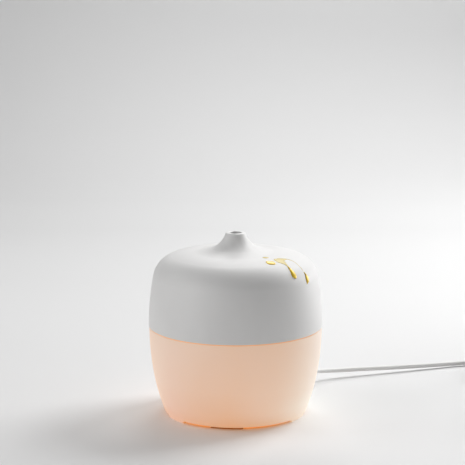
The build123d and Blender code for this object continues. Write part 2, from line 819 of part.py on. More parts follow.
with BuildPart() as air_duct:
    with Locations((fan_x, 0, 0)):
        add(revolve(spun([
            (fan_bore - part_gap, fan_top), (fan_bore + duct_lap, fan_top),
            (fan_bore + duct_lap, fan_top + duct_flange), (channel_radius + part_gap + duct_wall, duct_neck),
            (channel_radius + part_gap + duct_wall, fan_top + duct_height),
            (channel_radius + part_gap, fan_top + duct_height), (channel_radius + part_gap, duct_neck),
            (fan_bore - part_gap, fan_top + duct_flange),
        ]).sketch, axis=Axis.Z, mode=Mode.PRIVATE))
    with BuildSketch(Plane.XY.offset(fan_top)):
        with Locations((fan_x, 0)):
            RectangleRounded(fan_size, fan_size, fan_corner)
            Circle(fan_bore - part_gap, mode=Mode.SUBTRACT)
            with GridLocations(2 * fan_hole_offset, 2 * fan_hole_offset, 2, 2):
                Circle(fan_screw_radius + part_gap, mode=Mode.SUBTRACT)
    extrude(amount=duct_flange)
save(air_duct, "air_duct")

fan_screws = screw_group(
    fan_screws_at, fan_top + duct_flange, fan_screw_radius,
    fan_height + duct_flange + fan_screw_grip - part_gap, fan_screw_head, small_screw_head_height, upward=False)
save(fan_screws, "fan_screws")

# ================================================================ main board
with BuildPart() as main_board:
    with BuildSketch(Plane.XY.offset(board_bottom)):
        with Locations((board_x, 0)):
            RectangleRounded(board_length, board_width, board_corner)
        with Locations(*board_screws_at):
            Circle(small_screw_radius + part_gap, mode=Mode.SUBTRACT)
    extrude(amount=board_thick)
save(main_board, "main_board")

board_screws = screw_group(
    board_screws_at, board_top, small_screw_radius, board_thick + small_screw_length - part_gap,
    small_screw_head, small_screw_head_height, upward=False)
save(board_screws, "board_screws")

with BuildPart() as drive_coil:
    with BuildSketch(Plane.XY.offset(board_top)):
        with Locations((board_x + coil_at[0], coil_at[1])):
            Circle(choke_radius)
    extrude(amount=choke_height)
    with BuildSketch(Plane.XY.offset(board_top + choke_flange)):
        with Locations((board_x + coil_at[0], coil_at[1])):
            Circle(choke_radius)
            Circle(choke_radius - choke_groove, mode=Mode.SUBTRACT)
    extrude(amount=choke_height - 2 * choke_flange, mode=Mode.SUBTRACT)
save(drive_coil, "drive_coil")

with BuildPart() as capacitors:
    for x, y, radius, height in capacitor_list:
        with BuildSketch(Plane.XY.offset(board_top)):
            with Locations((board_x + x, y)):
                Circle(radius)
        extrude(amount=height)
    fillet(capacitors.faces().filter_by(Axis.Z).sort_by(Axis.Z)[-2:].edges(), capacitor_round)
save(capacitors, "capacitors")

with BuildPart() as heat_sink:
    with BuildSketch(Plane.XY.offset(board_top)):
        with Locations((board_x + sink_at[0], sink_at[1])):
            Rectangle(sink_base, sink_length)
            with GridLocations(0, sink_fin_pitch, 1, sink_fins):
                Rectangle(sink_base + 2 * sink_fin_reach, sink_fin_thick)
    extrude(amount=sink_height)
save(heat_sink, "heat_sink")

transistor_x = sink_at[0] + sink_base / 2 + sink_fin_reach + transistor_size[0] / 2
with BuildPart() as drive_transistor:
    with BuildSketch(Plane.XY.offset(board_top)):
        with Locations((board_x + transistor_x, sink_at[1])):
            Rectangle(transistor_size[0], transistor_size[1])
    extrude(amount=transistor_size[2])
save(drive_transistor, "drive_transistor")

with BuildPart() as control_chip:
    with BuildSketch(Plane.XY.offset(board_top + chip_leg)):
        with Locations((board_x + chip_at[0], chip_at[1])):
            Rectangle(chip_size[0], chip_size[1])
    extrude(amount=chip_size[2])
    with BuildSketch(Plane.XY.offset(board_top)):
        with Locations((board_x + chip_at[0], chip_at[1])):
            with GridLocations(chip_size[0] + chip_leg_reach, chip_leg_pitch, 2, 4):
                Rectangle(chip_leg_reach * 2, chip_leg_width)
    extrude(amount=chip_leg * 2)
save(control_chip, "control_chip")

with BuildPart() as wire_headers:
    with BuildSketch(Plane.XY.offset(board_top)):
        with Locations(*headers_at):
            Rectangle(header_size[0], header_size[1])
    extrude(amount=header_size[2])
    with BuildSketch(Plane.XY.offset(board_top + header_size[2])):
        with Locations(*headers_at):
            Rectangle(header_size[0] - 2 * header_wall, header_size[1] - 2 * header_wall)
    extrude(amount=-header_size[2] + header_wall, mode=Mode.SUBTRACT)
save(wire_headers, "wire_headers")

# ================================================================ rear panel, buttons and socket
with BuildPart() as rear_panel:
    with BuildSketch(facing_back(0, panel_inner, panel_bottom)):
        Rectangle(panel_width, panel_height, align=(Align.CENTER, Align.MIN))
    extrude(amount=cover_radius)
    add(shell_form.part, mode=Mode.INTERSECT)
    with BuildSketch(facing_back(0, panel_face, panel_bottom + panel_frame)):
        Rectangle(panel_width - 2 * panel_frame, panel_height - 2 * panel_frame,
                  align=(Align.CENTER, Align.MIN))
    extrude(amount=cover_radius, mode=Mode.SUBTRACT)
    with BuildSketch(facing_back(0, panel_inner, control_height)):
        with Locations(*[(-x, 0) for x in button_xs.values()]):
            Circle(button_radius + button_play)
        with Locations((-socket_x, 0)):
            Circle(socket_radius + button_play)
    extrude(amount=panel_thick, mode=Mode.SUBTRACT)
save(rear_panel, "rear_panel")


def push_button(x):
    """Domed cap with a flange behind the panel and a stem towards its switch."""
    with BuildPart() as button:
        with BuildSketch(facing_back(x, panel_inner - button_play, control_height)):
            Circle(button_radius)
        extrude(amount=panel_thick + button_play + button_proud)
        fillet(button.edges().group_by(Axis.Y)[-1], button_proud * 0.5)
        with BuildSketch(facing_back(x, panel_inner - button_play, control_height)):
            Circle(button_flange)
        extrude(amount=-button_flange_thick)
        with BuildSketch(facing_back(x, panel_inner - button_play - button_flange_thick, control_height)):
            Circle(button_stem_radius)
        extrude(amount=-button_stem)
    return button


for button_name, button_x in button_xs.items():
    save(push_button(button_x), button_name)

stem_end = panel_inner - button_play - button_flange_thick - button_stem
switch_front = stem_end - button_travel - button_play
switch_back = switch_front - switch_size[2]
switch_middle_x = sum(button_xs.values()) / len(button_xs)
with BuildPart() as button_board:
    with BuildSketch(facing_back(switch_middle_x, switch_back - board_thick, plate_top)):
        Rectangle(button_board_width, button_board_height, align=(Align.CENTER, Align.MIN))
    extrude(amount=board_thick)
save(button_board, "button_board")

with BuildPart() as button_switches:
    with BuildSketch(facing_back(0, switch_back, control_height)):
        with Locations(*[(-x, 0) for x in button_xs.values()]):
            Rectangle(switch_size[0], switch_size[1])
    extrude(amount=switch_size[2] - switch_plunger)
    with BuildSketch(facing_back(0, switch_back, control_height)):
        with Locations(*[(-x, 0) for x in button_xs.values()]):
            Circle(button_stem_radius)
    extrude(amount=switch_size[2])
save(button_switches, "button_switches")

with BuildPart() as power_socket:
    with BuildSketch(facing_back(socket_x, panel_inner, control_height)):
        Rectangle(socket_size[0], socket_size[2])
    extrude(amount=-socket_size[1])
    with BuildSketch(facing_back(socket_x, panel_inner, control_height)):
        Circle(socket_radius)
    extrude(amount=panel_thick)
    with BuildSketch(facing_back(socket_x, panel_face, control_height)):
        Circle(socket_bore)
        Circle(socket_pin, mode=Mode.SUBTRACT)
    extrude(amount=-socket_depth, mode=Mode.SUBTRACT)
save(power_socket, "power_socket")

# ================================================================ wires inside the base
fan_wires = swept_lead(fan_wire_route, wire_radius)
save(fan_wires, "fan_wires")
light_wires = swept_lead(light_wire_route, wire_radius)
save(light_wires, "light_wires")
mist_wires = swept_lead(mist_wire_route, wire_radius)
save(mist_wires, "mist_wires")
power_wires = swept_lead(power_wire_route, wire_radius)
save(power_wires, "power_wires")

# ================================================================ power lead
with BuildPart() as lead_plug:
    with BuildSketch(facing_back(socket_x, plug_head_start, control_height)):
        Circle(plug_head_radius)
    extrude(amount=plug_arm_y + plug_arm_radius + plug_cap - plug_head_start)
    with BuildSketch(Plane(origin=(socket_x, plug_arm_y, control_height), z_dir=(1, 0, 0))):
        Circle(plug_arm_radius)
    extrude(amount=plug_arm_end - socket_x)
    fillet(lead_plug.faces().sort_by(Axis.Y)[-1].edges(), plug_round)
    with BuildSketch(facing_back(socket_x, plug_head_start, control_height)):
        Circle(plug_barrel)
    extrude(amount=-plug_reach)
    with BuildSketch(facing_back(socket_x, plug_head_start, control_height)):
        Circle(socket_pin + part_gap)
    extrude(amount=-plug_reach, mode=Mode.SUBTRACT)
save(lead_plug, "lead_plug")


def strain_relief(origin, direction, start_radius, name):
    """Tapered sleeve with rings round it, from the housing out along the lead."""
    with BuildPart() as relief:
        with BuildSketch(Plane(origin=origin, z_dir=direction)):
            Circle(start_radius)
        extrude(amount=relief_length, taper=relief_taper)
    save(relief, name)


strain_relief((plug_arm_end, plug_arm_y, control_height), (1, 0, 0), relief_radius, "plug_strain_relief")

power_lead = swept_lead(lead_route, cord_radius)
save(power_lead, "power_lead")

# the coiled rest of the lead, as the ring that its turns fill, with a stub for each end
coil_inner_line = coil_line_radius - coil_pitch * coil_turns / 2
with BuildPart() as lead_coil:
    with BuildSketch(Plane.XY.offset(coil_lift - coil_slack)):
        with Locations(coil_centre):
            Circle(coil_line_radius + cord_radius + coil_slack)
            Circle(coil_inner_line - cord_radius - coil_slack, mode=Mode.SUBTRACT)
    extrude(amount=coil_pitch + 2 * cord_radius + 2 * coil_slack)
    with BuildSketch(Plane(origin=lead_route[-1], z_dir=(1, 0, 0))):
        Circle(cord_radius)
    extrude(amount=coil_centre[0] - lead_route[-1][0])
    with BuildSketch(Plane(origin=tail_route[0], z_dir=(0, 1, 0))):
        Circle(cord_radius)
    extrude(amount=coil_centre[1] - tail_route[0][1])
save(lead_coil, "lead_coil")

lead_tail = swept_lead(tail_route, cord_radius)
save(lead_tail, "lead_tail")

# ================================================================ wall adapter
adapter_middle_z = adapter_size[2] / 2
strain_relief((adapter_x, adapter_back_y, adapter_middle_z), (0, 1, 0), relief_radius, "adapter_strain_relief")


def adapter_half(front, length, name):
    """Solid half of the adapter's moulded body, rounded at its corners."""
    with BuildPart() as half:
        with BuildSketch(facing_back(adapter_x, front, adapter_middle_z)):
            RectangleRounded(adapter_size[0], adapter_size[2], adapter_round)
        extrude(amount=length)
        outer_face = half.faces().sort_by(Axis.Y)[0 if front == adapter_front_y else -1]
        fillet(outer_face.edges(), adapter_edge)
    save(half, name)


adapter_half(adapter_front_y, adapter_split, "adapter_face")
adapter_half(adapter_front_y + adapter_split, adapter_size[1] - adapter_split, "adapter_body")

with BuildPart() as adapter_pins:
    with BuildSketch(facing_back(adapter_x, adapter_front_y, adapter_middle_z)):
        with GridLocations(pin_spacing, 0, 2, 1):
            Rectangle(pin_size[0], pin_size[2])
    extrude(amount=-pin_size[1])
    chamfer(adapter_pins.faces().sort_by(Axis.Y)[:2].edges(), pin_size[0] * 0.3)
save(adapter_pins, "adapter_pins")
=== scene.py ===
"""Looks of the ultrasonic oil diffuser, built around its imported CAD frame. Metres, +Z up."""
import json
import math

import bpy
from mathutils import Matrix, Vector
from mathutils.bvhtree import BVHTree


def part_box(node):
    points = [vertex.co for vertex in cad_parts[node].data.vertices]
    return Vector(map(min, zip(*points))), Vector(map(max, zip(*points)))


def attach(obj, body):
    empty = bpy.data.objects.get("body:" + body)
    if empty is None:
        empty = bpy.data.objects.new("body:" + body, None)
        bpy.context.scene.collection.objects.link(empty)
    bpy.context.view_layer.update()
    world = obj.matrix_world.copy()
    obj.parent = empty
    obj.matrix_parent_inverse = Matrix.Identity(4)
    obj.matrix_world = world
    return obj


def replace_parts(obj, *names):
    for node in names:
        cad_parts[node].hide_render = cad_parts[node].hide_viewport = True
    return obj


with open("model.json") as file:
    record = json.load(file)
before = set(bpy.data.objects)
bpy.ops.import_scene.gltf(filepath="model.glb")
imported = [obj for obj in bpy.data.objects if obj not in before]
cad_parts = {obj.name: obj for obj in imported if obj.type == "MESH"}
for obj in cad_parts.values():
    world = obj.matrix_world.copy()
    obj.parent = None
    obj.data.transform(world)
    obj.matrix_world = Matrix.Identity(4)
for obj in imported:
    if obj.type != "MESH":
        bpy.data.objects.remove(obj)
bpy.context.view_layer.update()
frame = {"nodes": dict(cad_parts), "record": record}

MM = 0.001

# ------------------------------------------------------------------ places read from the frame
shell_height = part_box("light_shell")[1].z
cover_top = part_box("outer_cover")[1].z


# ------------------------------------------------------------------ node and material helpers
class Finish:
    """One procedural material: a Principled shader fed by noise in object space."""

    def __init__(self, name, roughness, metallic=0.0):
        self.material = bpy.data.materials.new(name)
        self.material.use_nodes = True
        self.tree = self.material.node_tree
        self.shader = self.tree.nodes["Principled BSDF"]
        self.shader.inputs["Roughness"].default_value = roughness
        self.shader.inputs["Metallic"].default_value = metallic
        self.space = self.tree.nodes.new("ShaderNodeTexCoord").outputs["Object"]

    def node(self, kind, **settings):
        made = self.tree.nodes.new(kind)
        for key, value in settings.items():
            setattr(made, key, value)
        return made

    def link(self, source, target):
        self.tree.links.new(source, target)

    def noise(self, scale, detail=2.0, stretch=None):
        texture = self.node("ShaderNodeTexNoise")
        texture.inputs["Scale"].default_value = scale
        texture.inputs["Detail"].default_value = detail
        source = self.space
        if stretch:
            mapping = self.node("ShaderNodeMapping")
            mapping.inputs["Scale"].default_value = stretch
            self.link(source, mapping.inputs["Vector"])
            source = mapping.outputs["Vector"]
        self.link(source, texture.inputs["Vector"])
        return texture.outputs["Fac"]

    def ramp(self, source, stops):
        ramp = self.node("ShaderNodeValToRGB")
        elements = ramp.color_ramp.elements
        while len(elements) < len(stops):
            elements.new(1.0)
        for element, (place, colour) in zip(elements, stops):
            element.position = place
            element.color = (*colour, 1.0)
        self.link(source, ramp.inputs["Fac"])
        return ramp.outputs["Color"]

    def colour(self, source, stops, socket="Base Color"):
        self.link(self.ramp(source, stops), self.shader.inputs[socket])

    def rough(self, source, low, high):
        span = self.node("ShaderNodeMapRange")
        span.inputs["To Min"].default_value = low
        span.inputs["To Max"].default_value = high
        self.link(source, span.inputs["Value"])
        self.link(span.outputs["Result"], self.shader.inputs["Roughness"])

    def bump(self, source, strength, distance):
        bump = self.node("ShaderNodeBump")
        bump.inputs["Strength"].default_value = strength
        bump.inputs["Distance"].default_value = distance
        self.link(source, bump.inputs["Height"])
        self.link(bump.outputs["Normal"], self.shader.inputs["Normal"])

    def along(self, axis, low, high):
        """0 to 1 from one place to another along the axis."""
        split = self.node("ShaderNodeSeparateXYZ")
        self.link(self.space, split.inputs["Vector"])
        span = self.node("ShaderNodeMapRange")
        span.inputs["From Min"].default_value = low
        span.inputs["From Max"].default_value = high
        self.link(split.outputs[axis], span.inputs["Value"])
        return span.outputs["Result"]


def grey(value, warm=0.0):
    return (value * (1 + warm), value, value * (1 - warm))


def plastic(name, dark, light, roughness, grain, bump=0.06):
    """Moulded plastic: faint mottling, uneven sheen and a fine spark texture."""
    finish = Finish(name, roughness)
    finish.colour(finish.noise(18.0, 3.0), [(0.3, dark), (0.7, light)])
    finish.rough(finish.noise(60.0), roughness - 0.04, roughness + 0.05)
    finish.bump(finish.noise(grain, 1.5), bump, 0.0002)
    return finish.material


def metal(name, dark, light, roughness, stretch=(1, 1, 1)):
    """Worked metal: its grain runs finer where it is stretched."""
    finish = Finish(name, roughness, metallic=1.0)
    finish.colour(finish.noise(90.0, 3.0, stretch), [(0.3, dark), (0.7, light)])
    finish.rough(finish.noise(220.0, 2.0, stretch), roughness - 0.05, roughness + 0.08)
    finish.bump(finish.noise(900.0, 1.0, stretch), 0.04, 0.0001)
    return finish.material


def frosted_shell():
    """Frosted translucent moulding, lit from inside by a painted glow: warmer low down, and whiter at the
    sides with a painted sheen.
    """
    finish = Finish("frosted_peach", 0.45)
    up = finish.along("Z", 0.0, shell_height)
    finish.colour(up, [(0.0, (0.34, 0.42, 0.44)), (0.16, (0.33, 0.46, 0.52)), (0.45, (0.32, 0.50, 0.57)),
                       (1.0, (0.32, 0.50, 0.58))])
    # the shell's inner light, painted in as an orange glow, a little stronger low down
    inner_glow = finish.ramp(up, [(0.0, (0.52, 0.165, 0.004)), (0.18, (0.54, 0.185, 0.006)),
                              (0.45, (0.535, 0.185, 0.010)), (1.0, (0.49, 0.178, 0.012))])
    # painted sheen: emission that whitens the shell towards its left and right edges, most on the right
    painted_side_sheen = finish.ramp(finish.along("X", -0.06, 0.06), [
        (0.0, (0.0, 0.05, 0.06)), (0.12, (0.0, 0.012, 0.03)), (0.24, (0.0, 0.006, 0.014)),
        (0.46, (0.0, 0.0, 0.0)), (0.62, (0.0, 0.022, 0.030)), (0.74, (0.0, 0.040, 0.050)),
        (0.84, (0.0, 0.068, 0.082)), (1.0, (0.02, 0.12, 0.14))])
    # the painted sheen is scaled by height, strongest low down
    low = finish.ramp(up, [(0.0, grey(2.0)), (0.2, grey(1.9)), (0.36, grey(1.2)), (0.53, grey(0.85)),
                           (1.0, grey(0.35))])
    glow_plus_painted_sheen = finish.node("ShaderNodeVectorMath", operation="MULTIPLY_ADD")
    finish.link(painted_side_sheen, glow_plus_painted_sheen.inputs[0])
    finish.link(low, glow_plus_painted_sheen.inputs[1])
    finish.link(inner_glow, glow_plus_painted_sheen.inputs[2])
    finish.link(glow_plus_painted_sheen.outputs["Vector"], finish.shader.inputs["Emission Color"])
    finish.shader.inputs["Emission Strength"].default_value = 1.0
    finish.rough(finish.noise(70.0), 0.40, 0.50)
    finish.bump(finish.noise(2600.0, 1.0), 0.05, 0.0001)
    return finish.material


def glow(name, body, light, roughness=0.4):
    """Light guide with a little unevenness along it: its own colour, and the light it gives out."""
    finish = Finish(name, roughness)
    mottle = finish.noise(40.0)
    finish.colour(mottle, [(0.3, body), (0.7, tuple(c * 1.08 for c in body))])
    finish.colour(mottle, [(0.3, light), (0.7, tuple(c * 1.08 for c in light))], "Emission Color")
    finish.shader.inputs["Emission Strength"].default_value = 1.0
    return finish.material


def gilt(name, dark, light, roughness, metallic):
    """Glossy golden oil."""
    finish = Finish(name, roughness, metallic)
    finish.shader.inputs["Coat Weight"].default_value = 0.35
    finish.shader.inputs["Coat Roughness"].default_value = 0.2
    finish.shader.inputs["Specular IOR Level"].default_value = 0.25
    finish.colour(finish.noise(140.0, 2.0), [(0.3, dark), (0.7, light)])
    finish.bump(finish.noise(420.0, 1.0), 0.05, 0.0002)
    return finish.material


MATERIALS = {
    "cover_white": plastic("cover_white", grey(0.695, 0.008), grey(0.735, 0.008), 0.50, 2400.0, 0.07),
    "guide_plastic": plastic("guide_plastic", grey(0.66), grey(0.70), 0.42, 1500.0),
    "frosted_peach": frosted_shell(),
    "seam_glow": glow("seam_glow", (0.58, 0.33, 0.17), (0.38, 0.20, 0.08)),
    "tank_plastic": plastic("tank_plastic", grey(0.70, 0.01), grey(0.76, 0.01), 0.38, 1200.0),
    "steel": metal("steel", grey(0.50), grey(0.66), 0.30),
    "silicone": plastic("silicone", grey(0.55, 0.03), grey(0.62, 0.03), 0.62, 900.0),
    "piezo_metal": metal("piezo_metal", grey(0.60, 0.03), grey(0.74, 0.03), 0.22),
    "retainer_plastic": plastic("retainer_plastic", grey(0.03), grey(0.05), 0.45, 1200.0),
    "circuit_board": plastic("circuit_board", (0.01, 0.07, 0.025), (0.015, 0.11, 0.04), 0.35, 700.0),
    "led_lens": glow("led_lens", (0.8, 0.66, 0.4), (1.2, 0.85, 0.4), 0.2),
    "base_white": plastic("base_white", grey(0.66), grey(0.71), 0.48, 1600.0),
    # the orange-brown of the rubber feet is mostly the base's amber glow, painted into their colour
    "foot_rubber": plastic("foot_rubber", (0.36, 0.125, 0.016), (0.44, 0.155, 0.024), 0.7, 1400.0, 0.15),
    "rim_amber": glow("rim_amber", (0.10, 0.03, 0.001), (0.80, 0.21, 0.0)),
    "fan_black": plastic("fan_black", grey(0.012), grey(0.02), 0.42, 1100.0),
    "ferrite": plastic("ferrite", grey(0.02), grey(0.035), 0.6, 800.0),
    "capacitor_sleeve": plastic("capacitor_sleeve", (0.006, 0.01, 0.05), (0.01, 0.016, 0.07), 0.25, 600.0),
    "heat_sink_alloy": metal("heat_sink_alloy", grey(0.55), grey(0.70), 0.34, (1, 1, 8)),
    "chip_resin": plastic("chip_resin", grey(0.012), grey(0.02), 0.5, 1500.0),
    "header_nylon": plastic("header_nylon", grey(0.66, 0.04), grey(0.72, 0.04), 0.5, 1200.0),
    "button_white": plastic("button_white", grey(0.68), grey(0.72), 0.36, 1800.0),
    "switch_black": plastic("switch_black", grey(0.012), grey(0.02), 0.4, 1000.0),
    "wire_red": plastic("wire_red", (0.30, 0.012, 0.01), (0.40, 0.02, 0.015), 0.4, 900.0),
    "cord_white": plastic("cord_white", grey(0.72, 0.01), grey(0.78, 0.01), 0.46, 1100.0, 0.05),
    "plug_white": plastic("plug_white", grey(0.62), grey(0.68), 0.50, 1300.0),
    "adapter_white": plastic("adapter_white", grey(0.64), grey(0.70), 0.52, 1700.0, 0.12),
    "pin_brass": metal("pin_brass", grey(0.60, 0.02), grey(0.74, 0.02), 0.2, (1, 8, 1)),
    "gilt": gilt("gilt", (0.74, 0.50, 0.035), (0.82, 0.57, 0.055), 0.30, 0.15),
    "gilt_film": gilt("gilt_film", (0.60, 0.48, 0.15), (0.66, 0.53, 0.18), 0.5, 0.0),
    "tie_white": plastic("tie_white", grey(0.62), grey(0.70), 0.7, 500.0, 0.2),
}

slots = {part["node"]: part["material_slot"] for part in frame["record"]["subparts"]}
for node, thing in frame["nodes"].items():
    thing.data.materials.clear()
    thing.data.materials.append(MATERIALS[slots[node]])


# ------------------------------------------------------------------ camera, stage and light
CAMERA_DISTANCE = 1.116
CAMERA_HEIGHT = 0.3334
CAMERA_SIDE = -0.0022
CAMERA_PITCH = 10.334
CAMERA_LENS = 123.95

camera_data = bpy.data.cameras.new("camera")
camera_data.sensor_width = 36.0
camera_data.lens = CAMERA_LENS
camera = bpy.data.objects.new("camera", camera_data)
camera.location = (CAMERA_SIDE, -CAMERA_DISTANCE, CAMERA_HEIGHT)
camera.rotation_euler = (math.radians(90 - CAMERA_PITCH), 0, 0)
bpy.context.scene.collection.objects.link(camera)
bpy.context.scene.camera = camera


def add_object(name, mesh, material, smooth=True):
    thing = bpy.data.objects.new(name, mesh)
    bpy.context.scene.collection.objects.link(thing)
    mesh.materials.append(material)
    if smooth:
        mesh.shade_smooth()
    return thing


GLOW_POOL_SPOT = (-0.02, -0.045, 0.0)    # centre of a painted pool of light: the floor in front that the glowing shell lights is painted brighter
GLOW_POOL_FROM, GLOW_POOL_TO = 0.05, 0.12
GLOW_POOL_GAIN = 1.14


def backdrop():
    """Seamless sheet: flat floor, a wide curve up behind and a light wall; its colour carries painted shade
    behind the object and a painted pool of light in front of it.
    """
    half_width, front, back, curve, top = 3.0, -2.2, 1.1, 0.9, 2.6
    steps = 24
    profile = [(front, 0.0)]
    for step in range(steps + 1):
        turn = math.pi / 2 * step / steps
        profile.append((back + curve * math.sin(turn), curve * (1 - math.cos(turn))))
    profile.append((back + curve, top))
    mesh = bpy.data.meshes.new("backdrop")
    points = [(x, y, z) for y, z in profile for x in (-half_width, half_width)]
    faces = [(2 * i, 2 * i + 1, 2 * i + 3, 2 * i + 2) for i in range(len(profile) - 1)]
    mesh.from_pydata(points, [], faces)
    finish = Finish("backdrop_paper", 0.75)
    # painted light and shade: the paper darkens back along the floor to about 0.7 m behind the object, then
    # lightens up the curve and the wall
    paper_and_painted_falloff = finish.ramp(finish.along("Y", -0.1, 2.1), [
        (0.0, grey(0.765)), (0.05, grey(0.735)), (0.12, grey(0.705)), (0.22, grey(0.675)), (0.38, grey(0.61)),
        (0.48, grey(0.635)), (0.64, grey(0.75)), (0.85, grey(0.885)), (1.0, grey(0.885))])
    # painted pool of light: the paper is brightened round the spot in front of the shell, fading out with
    # distance
    away = finish.node("ShaderNodeVectorMath", operation="DISTANCE")
    away.inputs[1].default_value = GLOW_POOL_SPOT
    finish.link(finish.space, away.inputs[0])
    glow_pool_scale = finish.node("ShaderNodeMapRange", interpolation_type="SMOOTHSTEP")
    glow_pool_scale.inputs["From Min"].default_value = GLOW_POOL_FROM
    glow_pool_scale.inputs["From Max"].default_value = GLOW_POOL_TO
    glow_pool_scale.inputs["To Min"].default_value = GLOW_POOL_GAIN
    glow_pool_scale.inputs["To Max"].default_value = 1.0
    finish.link(away.outputs["Value"], glow_pool_scale.inputs["Value"])
    paper_with_glow_pool = finish.node("ShaderNodeVectorMath", operation="SCALE")
    finish.link(paper_and_painted_falloff, paper_with_glow_pool.inputs[0])
    finish.link(glow_pool_scale.outputs["Result"], paper_with_glow_pool.inputs["Scale"])
    finish.link(paper_with_glow_pool.outputs["Vector"], finish.shader.inputs["Base Color"])
    finish.bump(finish.noise(500.0), 0.02, 0.0003)
    return add_object("backdrop", mesh, finish.material)


backdrop()


OBJECT_MIDDLE = Vector((0.0, 0.0, 0.07))
LIGHT_DISTANCE = 1.35
LIGHT_SIZE = 0.6


def soft_light(name, azimuth, elevation, power):
    """Square soft box round the object; azimuth 0 is to the right and 90 behind it, in degrees."""
    data = bpy.data.lights.new(name, "AREA")
    data.shape = "SQUARE"
    data.size = LIGHT_SIZE
    data.energy = power
    turn, rise = math.radians(azimuth), math.radians(elevation)
    way = Vector((math.cos(rise) * math.cos(turn), math.cos(rise) * math.sin(turn), math.sin(rise)))
    lamp = bpy.data.objects.new(name, data)
    lamp.location = OBJECT_MIDDLE + way * LIGHT_DISTANCE
    lamp.rotation_euler = (-way).to_track_quat("-Z", "Y").to_euler()
    bpy.context.scene.collection.objects.link(lamp)


soft_light("key_high", 40, 45, 11.6)
soft_light("key_low", 30, 12, 7.0)
soft_light("back_high", 83, 40, 4.4)
soft_light("overhead", 90, 80, 1.5)
soft_light("back_left", 135, 38, 0.6)
soft_light("left_high", 180, 45, 3.9)
soft_light("left_low", 212, 12, 5.5)
soft_light("front_right", 325, 10, 2.6)
soft_light("front_low", 240, 7, 0.8)
soft_light("right_side", 0, 28, 1.15)


def wall_light():
    """Wide light behind the object that faces the wall and leans up."""
    data = bpy.data.lights.new("wall_light", "AREA")
    data.size = 1.2
    data.energy = 7.0
    lamp = bpy.data.objects.new("wall_light", data)
    lamp.location = (0.4, 1.15, 1.35)
    lamp.rotation_euler = (math.radians(62), 0, 0)
    bpy.context.scene.collection.objects.link(lamp)


wall_light()

world = bpy.data.worlds.new("studio")
world.use_nodes = True
world.node_tree.nodes["Background"].inputs["Strength"].default_value = 0.0
bpy.context.scene.world = world
bpy.context.scene.view_settings.view_transform = "Standard"

# ------------------------------------------------------------------ golden oil on the cover
# each run: its thickness, then x, y and half width along its middle, as seen from above, in millimetres
DROPS = [
    (0.8, [(35.6, -33.2, 0.3), (36.6, -34.6, 0.6), (37.6, -35.8, 1.0), (38.6, -36.8, 1.5), (39.5, -37.7, 2.0),
           (40.2, -38.4, 2.2), (40.7, -38.9, 1.7), (41.0, -39.3, 0.0)]),
    (0.7, [(47.2, -28.3, 0.25), (47.9, -28.7, 0.5), (48.6, -29.0, 1.1), (49.2, -29.3, 1.9),
           (49.7, -29.5, 2.2), (50.1, -29.6, 1.6), (50.4, -29.7, 0.0)]),
    (0.6, [(20.7, -32.1, 0.0), (21.8, -32.4, 2.0), (23.4, -33.2, 3.1), (25.2, -33.9, 3.0), (26.6, -34.7, 1.7),
           (27.2, -35.1, 0.0)]),
    (0.4, [(24.2, -31.3, 0.3), (25.4, -31.0, 1.0), (26.8, -31.6, 0.0)]),
]
FILMS = [
    (0.3, [(26.2, -24.3, 0.0), (27.4, -24.7, 1.5), (29.2, -26.0, 2.9), (31.3, -27.9, 3.4), (33.0, -29.8, 2.4),
           (34.4, -31.3, 1.3), (35.4, -32.8, 0.9), (36.0, -33.7, 0.0)]),
    (0.28, [(27.6, -24.6, 0.0), (29.6, -24.0, 2.2), (31.8, -23.0, 2.7), (33.6, -21.6, 1.7),
            (35.2, -20.5, 0.85), (37.4, -20.6, 0.5), (40.0, -22.2, 0.38), (42.8, -24.9, 0.32),
            (45.4, -27.0, 0.3), (46.8, -27.9, 0.32)]),
    (0.3, [(18.5, -22.2, 0.0), (19.6, -22.2, 1.6), (20.9, -22.1, 2.1), (22.2, -22.0, 1.5),
           (23.3, -21.9, 0.0)]),
]
ALONG = 10                    # steps between two given points
ACROSS = 12                   # steps from edge to edge
THINNEST_HALF = 0.02          # keeps the tips of a run from closing up
FULL_SWELL_HALF = 0.9         # a run narrower than this is thinner too
SUNK_EDGE = 0.03              # edges lie this far inside the cover


def eased(points, place):
    """Point at a place along a smooth line through the points, one unit from each to the next."""
    index = min(int(place), len(points) - 2)
    part = place - index
    before = points[max(index - 1, 0)]
    start, end = points[index], points[index + 1]
    after = points[min(index + 2, len(points) - 1)]
    return tuple(
        0.5 * (2 * b + (c - a) * part + (2 * a - 5 * b + 4 * c - d) * part ** 2
               + (3 * b - a - 3 * c + d) * part ** 3)
        for a, b, c, d in zip(before, start, end, after))


ABOVE = Vector((0, 0, 2 * cover_top))
DOWN = Vector((0, 0, -1))


def oil_run(thickness, middle, surface):
    """Vertices and faces of one rounded run of oil that lies on the surface."""
    steps = (len(middle) - 1) * ALONG
    line = [eased(middle, step / ALONG) for step in range(steps + 1)]
    vertices, faces = [], []
    for step, (x, y, half) in enumerate(line):
        behind, ahead = line[max(step - 1, 0)], line[min(step + 1, steps)]
        heading = Vector((ahead[0] - behind[0], ahead[1] - behind[1], 0)).normalized()
        side = Vector((-heading.y, heading.x, 0))
        half = max(half, THINNEST_HALF)
        swell = thickness * min(1.0, half / FULL_SWELL_HALF) ** 0.7
        for tick in range(ACROSS + 1):
            share = -math.cos(math.pi * tick / ACROSS)
            spot = (Vector((x, y, 0)) + side * half * share) * MM
            place, normal, _, _ = surface.ray_cast(spot + ABOVE, DOWN)
            rise = swell * math.sqrt(max(0.0, 1 - share * share)) - SUNK_EDGE
            vertices.append(place + normal * rise * MM)
    row = ACROSS + 1
    for step in range(steps):
        for tick in range(ACROSS):
            first = step * row + tick
            faces.append((first, first + row, first + row + 1, first + 1))
    return vertices, faces


